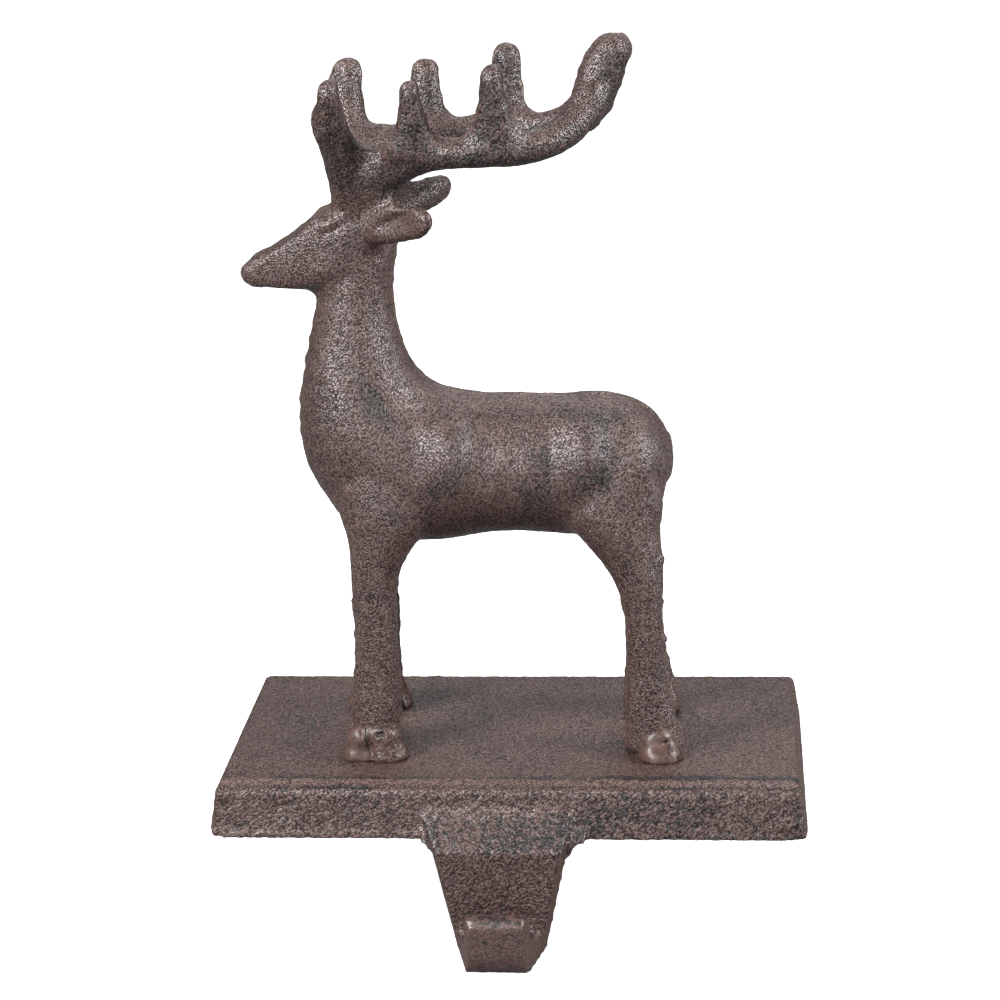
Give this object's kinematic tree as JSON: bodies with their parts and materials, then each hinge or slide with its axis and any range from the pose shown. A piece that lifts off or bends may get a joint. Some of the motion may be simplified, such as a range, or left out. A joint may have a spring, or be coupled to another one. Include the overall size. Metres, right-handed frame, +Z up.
{
  "type": "mantel stocking holder",
  "caption": "Cast-iron stag standing on a plinth that sits on a mantel shelf, with an arm over the front edge that turns up into a stocking hook.",
  "frame": {"origin": "on the mantel's front edge, at the middle of the plinth: the seat plane is z = 0 and the mantel's front face is y = 0", "axes": "+Z up, +Y into the room's wall from the hook side to the back of the plinth, +X along the mantel to the stag's tail"},
  "size_m": [0.13, 0.0919, 0.1936],
  "materials": {
    "plinth_iron": "sand-cast iron, warm dark brown paint rubbed with black",
    "figure_iron": "sand-cast iron, warm dark brown paint rubbed with black",
    "weld_metal": "smooth weld metal under the same brown paint"
  },
  "bodies": {
    "root": {"hook_plinth": "plinth_iron", "stag_figure": "figure_iron", "foot_welds": "weld_metal"}
  },
  "joints": []
}
